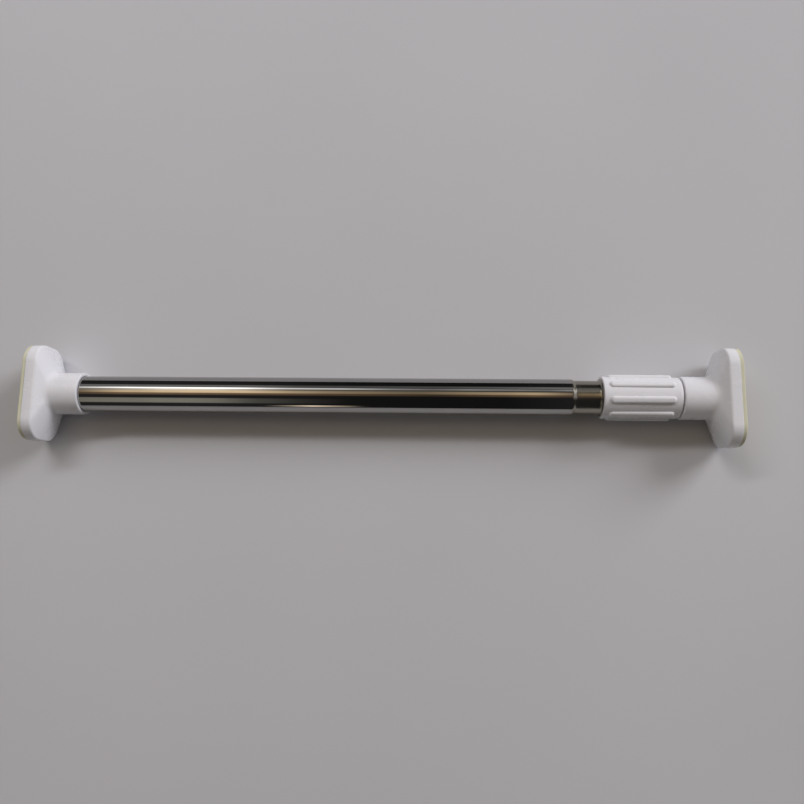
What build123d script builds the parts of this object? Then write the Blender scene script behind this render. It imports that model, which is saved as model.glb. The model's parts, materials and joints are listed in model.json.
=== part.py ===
from build123d import *
import math
import os

# An adjustable window security bar, lying collapsed on its feet. Millimetres.
# +X runs along the bar from the fixed foot to the adjustable foot, +Y along the feet's long sides, +Z up.
# The origin is the centre of the fixed foot's pad face, on the axis of the tubes.

# Whole bar
BAR_LENGTH = 490.0  # pad face to pad face, collapsed
JACK_TRAVEL = 30.0  # the screw drives the adjustable foot out this far

# Clearances
TIGHT = 0.02  # pressed or screwed pieces, radial
RUNNING = 0.1  # pieces that turn or slide on each other, radial
PASSING = 0.25  # what a circlip needs to pass a hexagon, radial
FREE = 0.3  # neighbours that move past each other without guiding
STOP_GAP = 0.3  # what is left at the end of a travel

# Feet
FOOT_LONG = 67.3
FOOT_WIDE = 37.7
FOOT_CORNER = 14.0
FOOT_HEIGHT = 37.7  # pad face to the open end of the collar
PLATE_THICK = 7.0
PLATE_BACK_ROUND = 0.5
PLATE_FRONT_ROUND = 1.4
FAIRING_RISE = 8.5
FAIRING_TOP_LONG = 27.1
FAIRING_TOP_WIDE = 25.6
FAIRING_TOP_CORNER = 12.4
COLLAR_WALL = 2.2
COLLAR_EDGE_ROUND = 0.7
JUNCTION_ROUND = 1.8
PAD_THICK = 2.5
PAD_INSET = 0.25
PAD_EDGE_ROUND = 0.7
PEG_DIAMETER = 4.0
PEG_LENGTH = 3.0
PEG_FROM_END = 6.5
CORE_LONG = 9.0
CORE_WIDE = 22.0
CORE_CORNER = 3.0
CORE_DEPTH = 4.0
CORE_FROM_PEG = 3.0

# Outer tube
TUBE_DIAMETER = 25.0
TUBE_WALL = 0.6
NECK_STEP = 1.0
NECK_TAPER = 3.5
NECK_LENGTH = 14.5
LIP_LENGTH = 2.5
LIP_FLARE = 1.3
LIP_EDGE = 0.55

# Fixed foot's fastening
FOOT_WEB = 3.0
PLUG_LENGTH = 18.0
FOOT_SCREW_DIAMETER = 5.0
FOOT_SCREW_LENGTH = 16.0
FOOT_SCREW_HEAD_DIAMETER = 9.5
FOOT_SCREW_HEAD_HEIGHT = 2.8

# Inner tube and its twist lock
INNER_WALL = 0.65
LOCK_ROOM = 36.4  # from the outer tube's plug to the lock's nearest piece, collapsed
LOCK_FLANGE = 2.0
LOCK_PLUG_DEPTH = 16.0
GLIDE_LENGTH = 9.0
GLIDE_JOURNAL_DIAMETER = 14.0
GLIDE_EDGE = 0.8
CAM_LENGTH = 11.0
CAM_CLEARANCE = 0.4
CAM_JOURNAL_DIAMETER = 12.0
CAM_OFFSET = 0.8
CAM_EDGE = 0.6
CAM_WASHER_DIAMETER = 17.0
CAM_WASHER_THICK = 1.2
CAM_SCREW_DIAMETER = 4.0
CAM_SCREW_LENGTH = 16.0
CAM_SCREW_HEAD_DIAMETER = 8.0
CAM_SCREW_HEAD_HEIGHT = 2.6
RIVET_DIAMETER = 3.0
RIVET_LENGTH = 2.6
RIVET_INSET = 8.0

# Grip
GRIP_LENGTH = 52.7
GRIP_WALL = 3.4
GRIP_DRAFT = 0.4
GRIP_START_ROUND = 0.6
GRIP_END_ROUND = 1.8
GRIP_TO_FOOT = 0.5
RIB_COUNT = 8
RIB_WIDTH = 5.4
RIB_HEIGHT = 1.25
RIB_ROUND = 2.0
RIB_FROM_START = 3.7
RIB_FROM_END = 4.9
RIB_FIRST_ANGLE = 14.5
TUBE_IN_GRIP = 16.7
GRIP_WEB = 4.0

# Bearing bush in the inner tube's outer end
BUSH_DEPTH = 14.0
BUSH_FLANGE = 2.0
BUSH_WALL = 1.45
BUSH_JOURNAL_END = 1.4
WASHER_THICK = 1.0
CIRCLIP_THICK = 1.2
CIRCLIP_GROOVE = 0.65
CIRCLIP_REACH = 2.5
CIRCLIP_GAP_ANGLE = 40.0

# Jack screw, its nut and its stop
SCREW_DIAMETER = 10.0
SCREW_PITCH = 3.0
THREAD_DEPTH = 1.75
THREAD_FLANK_ANGLE = 15.0
THREAD_RUNOUT = 2.0
SCREW_HEX_STEP = 3.0
SCREW_HEX_HEIGHT = 2.5
SCREW_SHANK_DIAMETER = 8.0
NUT_HEIGHT = 11.0
NUT_TO_WEB = 6.7
NUT_CIRCLIP_GROOVE = 0.8
NUT_CIRCLIP_REACH = 1.9
SCREW_WEB = 6.0
SHANK_NUT_HEX = 13.0
SHANK_NUT_HEIGHT = 5.6
SHANK_NUT_ROOM = 0.6
SPANNER_ROOM = 1.2
STOP_WASHER_LAP = 2.7
STOP_WASHER_THICK = 1.5
STOP_SCREW_DIAMETER = 4.0
STOP_SCREW_LENGTH = 12.0
STOP_SCREW_HEAD_DIAMETER = 7.5
STOP_SCREW_HEAD_HEIGHT = 2.6

# Cross recess of the pan-head screws
RECESS_WIDTH = 1.1
RECESS_SPAN = 0.55  # share of the head's diameter
RECESS_DEPTH = 1.4
HEAD_ROUND = 0.8

# Radii
TUBE_RADIUS = TUBE_DIAMETER / 2
TUBE_BORE = TUBE_RADIUS - TUBE_WALL
NECK_RADIUS = TUBE_RADIUS - NECK_STEP
NECK_BORE = NECK_RADIUS - TUBE_WALL
INNER_RADIUS = NECK_BORE - RUNNING
INNER_BORE = INNER_RADIUS - INNER_WALL
SOCKET_RADIUS = TUBE_RADIUS + TIGHT
COLLAR_RADIUS = SOCKET_RADIUS + COLLAR_WALL
GRIP_BORE = INNER_RADIUS + FREE
GRIP_RADIUS = GRIP_BORE + GRIP_WALL
SCREW_RADIUS = SCREW_DIAMETER / 2
SCREW_HEX = SCREW_DIAMETER + 2 * SCREW_HEX_STEP
BUSH_BORE = SCREW_RADIUS + FREE
JOURNAL_RADIUS = BUSH_BORE + BUSH_WALL
CIRCLIP_RADIUS = JOURNAL_RADIUS + CIRCLIP_REACH
NUT_HEX = 2 * (CIRCLIP_RADIUS + PASSING)
NUT_CORNER = NUT_HEX / 2 / math.cos(math.pi / 6)
NUT_MOUTH = NUT_CORNER + RUNNING

# Places along the bar, from the fixed foot
SCREW_SEAT = PAD_THICK + FOOT_SCREW_HEAD_HEIGHT + FREE
TUBE_START = SCREW_SEAT + FOOT_WEB
FOOT_FACE = BAR_LENGTH - FOOT_HEIGHT
GRIP_END = FOOT_FACE - GRIP_TO_FOOT
GRIP_START = GRIP_END - GRIP_LENGTH
TUBE_END = GRIP_START - FREE
NECK_END = TUBE_END - LIP_LENGTH
NECK_START = NECK_END - NECK_LENGTH
TAPER_START = NECK_START - NECK_TAPER
LOCK_START = TUBE_START + PLUG_LENGTH + LOCK_ROOM
CAM_SEAT = LOCK_START + CAM_SCREW_HEAD_HEIGHT + CAM_WASHER_THICK
CAM_START = CAM_SEAT + FREE
CAM_END = CAM_START + CAM_LENGTH
GLIDE_START = CAM_END + FREE
GLIDE_END = GLIDE_START + GLIDE_LENGTH
LOCK_FACE = GLIDE_END + FREE
INNER_START = LOCK_FACE + LOCK_FLANGE
TELESCOPE_TRAVEL = TAPER_START - TUBE_WALL - STOP_GAP - GLIDE_END
INNER_END = GRIP_START + TUBE_IN_GRIP
BUSH_START = INNER_END - BUSH_DEPTH
BUSH_FACE = INNER_END + BUSH_FLANGE
WEB_START = BUSH_FACE + WASHER_THICK + FREE
WEB_END = WEB_START + GRIP_WEB
KEEPER_START = WEB_END + FREE
CIRCLIP_START = KEEPER_START + WASHER_THICK
BUSH_END = CIRCLIP_START + CIRCLIP_THICK + BUSH_JOURNAL_END
NUT_START = WEB_END + NUT_TO_WEB
NUT_END = NUT_START + NUT_HEIGHT
STOP_FACE = BUSH_START - JACK_TRAVEL - STOP_GAP

# Places along the adjustable foot, from its own pad face
SHANK_NUT_SEAT = PAD_THICK + SHANK_NUT_ROOM + SHANK_NUT_HEIGHT
SCREW_HEX_SEAT = SHANK_NUT_SEAT + SCREW_WEB
SCREW_HEX_FACE = SCREW_HEX_SEAT + SCREW_HEX_HEIGHT
THREAD_END = BAR_LENGTH - SCREW_HEX_FACE - THREAD_RUNOUT


def rod(start, end, radius, y=0.0, z=0.0):
    """A cylinder along the bar, from one place to another."""
    size = Cylinder(radius, end - start, align=(Align.CENTER, Align.CENTER, Align.MIN))
    return Pos(start, y, z) * Rot(0, 90, 0) * size


def ring(start, end, outer, inner):
    """A tube along the bar."""
    return rod(start, end, outer) - rod(start, end, inner)


def hexagon(start, end, across_flats):
    """A hexagonal bar along the bar."""
    outline = RegularPolygon(across_flats / 2, 6, major_radius=False)
    return extrude(Plane.YZ.offset(start) * outline, end - start)


def turned(*points):
    """A solid turned about the bar's axis from its (place, radius) outline."""
    return revolve(make_face(Polyline(*points, close=True)), Axis.X)


def slab(start, end, long, wide, corner):
    """A rounded rectangle across the bar, from one place to another."""
    return extrude(Plane.YZ.offset(start) * RectangleRounded(long, wide, corner), end - start)


def turn_round(shape):
    """Takes a piece made at the fixed end to the same place at the adjustable end."""
    return Pos(BAR_LENGTH, 0, 0) * Rot(0, 0, 180) * shape


def edges_at(shape, place):
    """The edges that lie in the plane across the bar at a place."""
    return shape.edges().filter_by_position(Axis.X, place - 0.01, place + 0.01)


def bevelled(shape, start, end, size):
    """Bevels the outer edges at both ends of a ring or a rod."""
    outer = [edges_at(shape, place).sort_by(Edge.length)[-1] for place in (start, end)]
    return chamfer(outer, size)


def pan_head(start, end, radius):
    """A screw's pan head with a cross recess, its rounded side at the start."""
    head = rod(start, end, radius)
    head = fillet(edges_at(head, start), HEAD_ROUND)
    span = 2 * radius * RECESS_SPAN
    floor = start + RECESS_DEPTH / 2
    recess = Pos(floor, 0, 0) * Box(RECESS_DEPTH, span, RECESS_WIDTH)
    return head - recess - Pos(floor, 0, 0) * Box(RECESS_DEPTH, RECESS_WIDTH, span)


def pan_screw(seat, head_radius, head_height, radius, length):
    """A pan-head screw that points along +X, with its head below the seat."""
    point = rod(seat, seat + length, radius)
    point = chamfer(edges_at(point, seat + length), radius / 2)
    return pan_head(seat - head_height, seat, head_radius) + point


def pegs(radius, start, end):
    """The two pegs that hold a pad, or their holes."""
    reach = FOOT_LONG / 2 - PEG_FROM_END
    return rod(start, end, radius, y=reach) + rod(start, end, radius, y=-reach)


def cores():
    """The two pockets that lighten the plate under its pad."""
    reach = FOOT_LONG / 2 - PEG_FROM_END - PEG_DIAMETER / 2 - CORE_FROM_PEG - CORE_LONG / 2
    pocket = slab(PAD_THICK, PAD_THICK + CORE_DEPTH, CORE_LONG, CORE_WIDE, CORE_CORNER)
    return Pos(0, reach, 0) * pocket + Pos(0, -reach, 0) * pocket


def foot_shell():
    """The plate, the sloped fairing and the collar that both feet share, at the fixed end."""
    front = PAD_THICK + PLATE_THICK
    low = Plane.YZ.offset(front) * RectangleRounded(FOOT_LONG, FOOT_WIDE, FOOT_CORNER)
    top = RectangleRounded(FAIRING_TOP_LONG, FAIRING_TOP_WIDE, FAIRING_TOP_CORNER)
    fairing = loft([low, Plane.YZ.offset(front + FAIRING_RISE) * top], ruled=True)
    body = slab(PAD_THICK, front, FOOT_LONG, FOOT_WIDE, FOOT_CORNER) + fairing
    body = fillet(edges_at(body, front), PLATE_FRONT_ROUND)
    body = fillet(edges_at(body, PAD_THICK), PLATE_BACK_ROUND)
    collar = rod(front, FOOT_HEIGHT, COLLAR_RADIUS)
    collar = fillet(edges_at(collar, FOOT_HEIGHT), COLLAR_EDGE_ROUND)
    shell = body + collar
    shell = fillet(new_edges(body, collar, combined=shell), JUNCTION_ROUND)
    holes = pegs(PEG_DIAMETER / 2 + TIGHT, PAD_THICK, PAD_THICK + PEG_LENGTH + FREE)
    return shell - holes - cores()


def foot_pad():
    """The soft pad on a foot's face, with its two pegs, at the fixed end."""
    long = FOOT_LONG - 2 * PAD_INSET
    wide = FOOT_WIDE - 2 * PAD_INSET
    pad = slab(0, PAD_THICK, long, wide, FOOT_CORNER - PAD_INSET)
    pad = fillet(edges_at(pad, 0), PAD_EDGE_ROUND)
    return pad + pegs(PEG_DIAMETER / 2, PAD_THICK, PAD_THICK + PEG_LENGTH)


def fixed_foot():
    """The foot that holds the outer tube in its collar."""
    socket = rod(TUBE_START, FOOT_HEIGHT, SOCKET_RADIUS)
    head_room = rod(PAD_THICK, SCREW_SEAT, FOOT_SCREW_HEAD_DIAMETER / 2 + FREE)
    hole = rod(SCREW_SEAT, TUBE_START, FOOT_SCREW_DIAMETER / 2 + TIGHT)
    return foot_shell() - socket - head_room - hole


def fixed_foot_screw():
    """The screw under the fixed pad, through the foot's web and into the tube's plug."""
    head = FOOT_SCREW_HEAD_DIAMETER / 2
    radius = FOOT_SCREW_DIAMETER / 2
    return pan_screw(SCREW_SEAT, head, FOOT_SCREW_HEAD_HEIGHT, radius, FOOT_SCREW_LENGTH)


def tube_end_plug():
    """The plug pressed into the outer tube, which takes the foot's screw."""
    end = TUBE_START + PLUG_LENGTH
    plug = rod(TUBE_START, end, TUBE_BORE - TIGHT)
    plug = chamfer(edges_at(plug, end), GLIDE_EDGE)
    return plug - rod(TUBE_START, end, FOOT_SCREW_DIAMETER / 2 + TIGHT)


def eased(start, end):
    """A smooth step from one (place, radius) to another."""
    middle = (start[0] + end[0]) / 2
    return Bezier(start, (middle, start[1]), (middle, end[1]), end)


def flare(start, end):
    """A curve that leaves along the bar and arrives square to it."""
    bend_x = start[0] + (end[0] - start[0]) * 0.7
    bend_r = end[1] - (end[1] - start[1]) * 0.5
    return Bezier(start, (bend_x, start[1]), (end[0], bend_r), end)


def outer_tube():
    """The polished tube: straight, then swaged down to a neck with a flared lip."""
    lip = NECK_RADIUS + LIP_FLARE
    lip_start = TUBE_END - LIP_EDGE
    bore_shift = TUBE_WALL / 2
    outside = [
        Line((TUBE_START, TUBE_RADIUS), (TAPER_START, TUBE_RADIUS)),
        eased((TAPER_START, TUBE_RADIUS), (NECK_START, NECK_RADIUS)),
        Line((NECK_START, NECK_RADIUS), (NECK_END, NECK_RADIUS)),
        flare((NECK_END, NECK_RADIUS), (lip_start, lip)),
        Line((lip_start, lip), (TUBE_END, lip)),
    ]
    inside = [
        flare((NECK_END + bore_shift, NECK_BORE), (TUBE_END, lip)),
        Line((NECK_END + bore_shift, NECK_BORE), (NECK_START - bore_shift, NECK_BORE)),
        eased((TAPER_START - bore_shift, TUBE_BORE), (NECK_START - bore_shift, NECK_BORE)),
        Line((TAPER_START - bore_shift, TUBE_BORE), (TUBE_START, TUBE_BORE)),
        Line((TUBE_START, TUBE_BORE), (TUBE_START, TUBE_RADIUS)),
    ]
    return revolve(make_face(outside + inside), Axis.X)


def rivets(place, radius):
    """Two rivets across the bar, flush with the inner tube, or their holes."""
    size = Cylinder(radius, RIVET_LENGTH, align=(Align.CENTER, Align.CENTER, Align.MAX))
    one = Pos(place, INNER_RADIUS, 0) * Rot(-90, 0, 0) * size
    outside = rod(place - RIVET_DIAMETER, place + RIVET_DIAMETER, INNER_RADIUS)
    one = one & outside
    return one + Rot(180, 0, 0) * one


def inner_tube():
    """The tube that slides out of the neck."""
    tube = ring(INNER_START, INNER_END, INNER_RADIUS, INNER_BORE)
    hole = RIVET_DIAMETER / 2 + TIGHT
    return tube - rivets(INNER_START + RIVET_INSET, hole) - rivets(INNER_END - RIVET_INSET, hole)


def lock_plug():
    """The plug in the inner tube's hidden end: flange, glide journal and offset cam journal."""
    plug = rod(INNER_START, INNER_START + LOCK_PLUG_DEPTH, INNER_BORE - TIGHT)
    plug = chamfer(edges_at(plug, INNER_START + LOCK_PLUG_DEPTH), CAM_EDGE)
    plug = plug + rod(LOCK_FACE, INNER_START, INNER_RADIUS)
    plug = plug + rod(CAM_END, LOCK_FACE, GLIDE_JOURNAL_DIAMETER / 2)
    plug = plug + rod(CAM_SEAT, CAM_END, CAM_JOURNAL_DIAMETER / 2, z=CAM_OFFSET)
    hole = rod(CAM_SEAT, CAM_SEAT + CAM_SCREW_LENGTH + FREE, CAM_SCREW_DIAMETER / 2 + TIGHT, z=CAM_OFFSET)
    return plug - hole - rivets(INNER_START + RIVET_INSET, RIVET_DIAMETER / 2 + TIGHT)


def lock_rivets():
    """The rivets that hold the lock plug in the inner tube."""
    return rivets(INNER_START + RIVET_INSET, RIVET_DIAMETER / 2)


def glide_ring():
    """The ring that guides the inner tube in the outer one and can't pass its neck."""
    body = ring(GLIDE_START, GLIDE_END, TUBE_BORE - RUNNING, GLIDE_JOURNAL_DIAMETER / 2 + RUNNING)
    return bevelled(body, GLIDE_START, GLIDE_END, GLIDE_EDGE)


def lock_cam():
    """The offset ring that wedges in the outer tube when the inner tube is twisted."""
    body = rod(CAM_START, CAM_END, TUBE_BORE - CAM_CLEARANCE)
    body = chamfer(edges_at(body, CAM_START) + edges_at(body, CAM_END), CAM_EDGE)
    return body - rod(CAM_START, CAM_END, CAM_JOURNAL_DIAMETER / 2 + RUNNING, z=CAM_OFFSET)


def cam_washer():
    """The washer that keeps the cam on its journal."""
    hole = CAM_SCREW_DIAMETER / 2 + TIGHT
    washer = ring(CAM_SEAT - CAM_WASHER_THICK, CAM_SEAT, CAM_WASHER_DIAMETER / 2, hole)
    return Pos(0, 0, CAM_OFFSET) * washer


def cam_screw():
    """The screw through the cam's washer."""
    seat = CAM_SEAT - CAM_WASHER_THICK
    head = CAM_SCREW_HEAD_DIAMETER / 2
    screw = pan_screw(seat, head, CAM_SCREW_HEAD_HEIGHT, CAM_SCREW_DIAMETER / 2, CAM_SCREW_LENGTH)
    return Pos(0, 0, CAM_OFFSET) * screw


def bearing_bush():
    """The bush in the inner tube's outer end, with the journal that the grip turns on."""
    bush = rod(BUSH_START, INNER_END, INNER_BORE - TIGHT)
    bush = chamfer(edges_at(bush, BUSH_START), CAM_EDGE)
    bush = bush + rod(INNER_END, BUSH_FACE, INNER_RADIUS)
    bush = bush + rod(BUSH_FACE, BUSH_END, JOURNAL_RADIUS)
    groove_end = CIRCLIP_START + CIRCLIP_THICK
    groove = ring(CIRCLIP_START, groove_end, JOURNAL_RADIUS + FREE, JOURNAL_RADIUS - CIRCLIP_GROOVE)
    bore = rod(BUSH_START, BUSH_END, BUSH_BORE)
    return bush - groove - bore - rivets(INNER_END - RIVET_INSET, RIVET_DIAMETER / 2 + TIGHT)


def bush_rivets():
    """The rivets that hold the bush in the inner tube."""
    return rivets(INNER_END - RIVET_INSET, RIVET_DIAMETER / 2)


def thrust_washer():
    """The washer between the bush's flange and the grip's web."""
    return ring(BUSH_FACE, BUSH_FACE + WASHER_THICK, INNER_RADIUS - FREE, JOURNAL_RADIUS + TIGHT)


def keeper_washer():
    """The washer between the grip's web and the circlip on the bush."""
    return ring(KEEPER_START, KEEPER_START + WASHER_THICK, CIRCLIP_RADIUS, JOURNAL_RADIUS + TIGHT)


def open_ring(start, end, outer, inner):
    """A circlip: a flat ring with a gap on its upper side."""
    clip = ring(start, end, outer, inner)
    half = math.radians(CIRCLIP_GAP_ANGLE / 2)
    tall = 2 * outer
    side = tall * math.tan(half)
    gap = Plane.YZ.offset(start) * make_face(Polyline((0, 0), (side, tall), (-side, tall), close=True))
    return clip - extrude(gap, end - start)


def grip_circlip():
    """The circlip that keeps the grip on the bush."""
    inner = JOURNAL_RADIUS - CIRCLIP_GROOVE + TIGHT
    return open_ring(CIRCLIP_START, CIRCLIP_START + CIRCLIP_THICK, CIRCLIP_RADIUS, inner)


def grip_rib():
    """One finger rib of the grip, at the top, with all its outer edges rounded."""
    start = GRIP_START + RIB_FROM_START
    end = GRIP_END - RIB_FROM_END
    low = GRIP_BORE + GRIP_WALL / 2
    high = GRIP_RADIUS + RIB_HEIGHT
    rib = Pos((start + end) / 2, 0, (low + high) / 2) * Box(end - start, RIB_WIDTH, high - low)
    rib = fillet(rib.edges().filter_by(Axis.Z), RIB_WIDTH / 2 - 0.1)
    return fillet(rib.faces().sort_by(Axis.Z)[-1].edges(), RIB_ROUND)


def grip_body():
    """The outside of the grip, slightly smaller towards the foot, with its ribs."""
    end = GRIP_RADIUS - GRIP_DRAFT
    body = turned((GRIP_START, 0), (GRIP_START, GRIP_RADIUS), (GRIP_END, end), (GRIP_END, 0))
    body = fillet(edges_at(body, GRIP_START), GRIP_START_ROUND)
    body = fillet(edges_at(body, GRIP_END), GRIP_END_ROUND)
    rib = grip_rib()
    for index in range(RIB_COUNT):
        angle = RIB_FIRST_ANGLE + index * 360 / RIB_COUNT
        body = body + Rot(angle, 0, 0) * rib
    return body


def grip_sleeve():
    """The ribbed handle: it turns on the bush and carries the nut."""
    groove_end = NUT_END + CIRCLIP_THICK
    sleeve = grip_body() - rod(GRIP_START, WEB_START, GRIP_BORE)
    sleeve = sleeve - rod(WEB_START, WEB_END, JOURNAL_RADIUS + RUNNING)
    sleeve = sleeve - rod(WEB_END, NUT_START, NUT_HEX / 2)
    sleeve = sleeve - hexagon(NUT_START, NUT_END, NUT_HEX + 2 * TIGHT)
    sleeve = sleeve - rod(NUT_END, GRIP_END, NUT_MOUTH)
    return sleeve - rod(NUT_END, groove_end, NUT_MOUTH + NUT_CIRCLIP_GROOVE)


def jack_nut():
    """The hexagonal nut pressed into the grip."""
    nut = hexagon(NUT_START, NUT_END, NUT_HEX)
    return nut - rod(NUT_START, NUT_END, SCREW_RADIUS + RUNNING)


def nut_circlip():
    """The circlip that keeps the nut in the grip."""
    outer = NUT_MOUTH + NUT_CIRCLIP_GROOVE - TIGHT
    return open_ring(NUT_END, NUT_END + CIRCLIP_THICK, outer, NUT_MOUTH - NUT_CIRCLIP_REACH)


def jack_screw():
    """The screw fixed in the adjustable foot. Its thread is cut as rings of the thread's own section."""
    root = SCREW_RADIUS - THREAD_DEPTH
    flank = THREAD_DEPTH * math.tan(math.radians(THREAD_FLANK_ANGLE))
    land = (SCREW_PITCH - 2 * flank) / 2
    outline = [(STOP_FACE, 0), (STOP_FACE, root)]
    place = STOP_FACE + land
    while place + 2 * flank + land < THREAD_END:
        outline += [(place, root), (place + flank, SCREW_RADIUS)]
        outline += [(place + flank + land, SCREW_RADIUS), (place + 2 * flank + land, root)]
        place += SCREW_PITCH
    outline += [(THREAD_END, root), (THREAD_END + THREAD_RUNOUT / 2, SCREW_RADIUS)]
    outline += [(BAR_LENGTH - SCREW_HEX_FACE, SCREW_RADIUS), (BAR_LENGTH - SCREW_HEX_FACE, 0)]
    screw = turned(*outline)
    screw = screw + hexagon(BAR_LENGTH - SCREW_HEX_FACE, BAR_LENGTH - SCREW_HEX_SEAT, SCREW_HEX)
    shank_end = BAR_LENGTH - PAD_THICK - SHANK_NUT_ROOM
    screw = screw + rod(BAR_LENGTH - SCREW_HEX_SEAT, shank_end, SCREW_SHANK_DIAMETER / 2)
    hole = rod(STOP_FACE, STOP_FACE + STOP_SCREW_LENGTH + FREE, STOP_SCREW_DIAMETER / 2 + TIGHT)
    return screw - hole


def stop_washer():
    """The washer on the jack screw's hidden end, which meets the bush at full travel."""
    start = STOP_FACE - STOP_WASHER_THICK
    return ring(start, STOP_FACE, BUSH_BORE + STOP_WASHER_LAP, STOP_SCREW_DIAMETER / 2 + TIGHT)


def stop_screw():
    """The screw that holds the stop washer."""
    seat = STOP_FACE - STOP_WASHER_THICK
    head = STOP_SCREW_HEAD_DIAMETER / 2
    return pan_screw(seat, head, STOP_SCREW_HEAD_HEIGHT, STOP_SCREW_DIAMETER / 2, STOP_SCREW_LENGTH)


def adjustable_foot():
    """The foot that the jack screw pushes out."""
    mouth = SHANK_NUT_HEX / 2 / math.cos(math.pi / 6) + SPANNER_ROOM
    foot = foot_shell() - rod(SCREW_HEX_FACE, FOOT_HEIGHT, GRIP_BORE)
    foot = foot - hexagon(SCREW_HEX_SEAT, SCREW_HEX_FACE, SCREW_HEX + 2 * TIGHT)
    foot = foot - rod(SHANK_NUT_SEAT, SCREW_HEX_SEAT, SCREW_SHANK_DIAMETER / 2 + TIGHT)
    return turn_round(foot - rod(PAD_THICK, SHANK_NUT_SEAT, mouth))


def shank_nut():
    """The nut under the adjustable pad, which holds the jack screw in the foot."""
    nut = hexagon(SHANK_NUT_SEAT - SHANK_NUT_HEIGHT, SHANK_NUT_SEAT, SHANK_NUT_HEX)
    hole = rod(SHANK_NUT_SEAT - SHANK_NUT_HEIGHT, SHANK_NUT_SEAT, SCREW_SHANK_DIAMETER / 2 + TIGHT)
    return turn_round(nut - hole)


def adjustable_foot_pad():
    """The soft pad of the adjustable foot."""
    return turn_round(foot_pad())


PIECES = {
    "fixed_foot": fixed_foot,
    "fixed_foot_pad": foot_pad,
    "fixed_foot_screw": fixed_foot_screw,
    "tube_end_plug": tube_end_plug,
    "outer_tube": outer_tube,
    "glide_ring": glide_ring,
    "inner_tube": inner_tube,
    "lock_plug": lock_plug,
    "lock_plug_rivets": lock_rivets,
    "lock_cam": lock_cam,
    "cam_washer": cam_washer,
    "cam_screw": cam_screw,
    "bearing_bush": bearing_bush,
    "bush_rivets": bush_rivets,
    "thrust_washer": thrust_washer,
    "keeper_washer": keeper_washer,
    "grip_circlip": grip_circlip,
    "grip_sleeve": grip_sleeve,
    "jack_nut": jack_nut,
    "nut_circlip": nut_circlip,
    "jack_screw": jack_screw,
    "jack_stop_washer": stop_washer,
    "jack_stop_screw": stop_screw,
    "adjustable_foot": adjustable_foot,
    "adjustable_foot_pad": adjustable_foot_pad,
    "jack_screw_nut": shank_nut,
}

os.makedirs("parts", exist_ok=True)
for name, make in PIECES.items():
    export_step(make(), f"parts/{name}.step")
print(f"travel: telescope {TELESCOPE_TRAVEL:.2f} mm, jack screw {JACK_TRAVEL:.2f} mm")
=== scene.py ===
import json
import math

import bmesh
import bpy
from mathutils import Matrix, Vector


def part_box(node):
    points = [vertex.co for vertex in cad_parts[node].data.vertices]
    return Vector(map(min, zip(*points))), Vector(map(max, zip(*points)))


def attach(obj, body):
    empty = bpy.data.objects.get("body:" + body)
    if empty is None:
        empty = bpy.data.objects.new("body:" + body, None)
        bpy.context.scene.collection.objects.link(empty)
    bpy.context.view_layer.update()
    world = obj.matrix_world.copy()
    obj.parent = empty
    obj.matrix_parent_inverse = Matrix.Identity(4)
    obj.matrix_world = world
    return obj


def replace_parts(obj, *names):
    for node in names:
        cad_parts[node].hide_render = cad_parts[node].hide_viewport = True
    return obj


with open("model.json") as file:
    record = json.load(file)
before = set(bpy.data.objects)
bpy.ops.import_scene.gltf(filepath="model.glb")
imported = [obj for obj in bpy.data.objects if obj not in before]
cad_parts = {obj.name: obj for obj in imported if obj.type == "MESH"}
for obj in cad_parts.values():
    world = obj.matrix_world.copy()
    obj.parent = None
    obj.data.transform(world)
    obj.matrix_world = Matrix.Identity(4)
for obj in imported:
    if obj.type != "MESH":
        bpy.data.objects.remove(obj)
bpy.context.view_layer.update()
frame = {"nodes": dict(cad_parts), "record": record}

MM = 0.001
LIGHT_COLOUR = (0.955, 0.945, 1.0)
AROUND = 256  # points around a turned piece
FOOT_AROUND = 512  # points around a foot, whose soft ridges need more
SCREW_AROUND = 96  # points around the jack screw, in one turn of its thread
WELD = 0.0005 * MM  # points closer than this are joined
SHARP = 38.0  # degrees between faces from which an edge stays sharp
SCREW_SHARP = 30.0
BISECTIONS = 40  # halvings that find an outline, and a place on the fairing
FAIRING_BISECTIONS = 20
MIX_ONE, MIX_OTHER, MIX_RESULT = 6, 7, 2  # a colour Mix node's sockets

# Frame places, in metres
FOOT_LOW, FOOT_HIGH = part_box("fixed_foot")
PAD_LOW, PAD_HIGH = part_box("fixed_foot_pad")
TUBE_LOW, TUBE_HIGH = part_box("outer_tube")
INNER_LOW, INNER_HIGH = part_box("inner_tube")
GRIP_LOW, GRIP_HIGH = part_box("grip_sleeve")
SCREW_LOW, SCREW_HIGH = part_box("jack_screw")
END_LOW, END_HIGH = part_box("adjustable_foot_pad")
BAR_LENGTH = END_HIGH.x
FLOOR = FOOT_LOW.z

# Foot moulding, from its own pad face
FOOT_LONG = FOOT_HIGH.y - FOOT_LOW.y
FOOT_WIDE = FOOT_HIGH.z - FOOT_LOW.z
FOOT_CORNER = 14.0 * MM
FOOT_HEIGHT = FOOT_HIGH.x
PLATE_BACK = FOOT_LOW.x
PLATE_FRONT = PLATE_BACK + 7.0 * MM
PLATE_BACK_ROUND = 0.6 * MM
PLATE_FRONT_ROUND = 1.6 * MM
ROUND_IN, ROUND_BACK = 0.55, 0.7  # shares of it by which its curve reaches in and back
FAIRING_RISE = 8.5 * MM
FAIRING_TOP_LONG = 27.1 * MM
FAIRING_TOP_WIDE = 25.6 * MM
FAIRING_TOP_CORNER = 12.4 * MM
COLLAR_RADIUS = 14.72 * MM
COLLAR_ROUND = 0.8 * MM
JUNCTION_ROUND = 2.4 * MM
RIDGE_SOFT = 0.7 * MM
SLOPE_RINGS = 40
SOCKET_RADIUS = 12.56 * MM
SOCKET_EDGE = 0.3 * MM
SOCKET_FLOOR = TUBE_LOW.x
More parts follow.
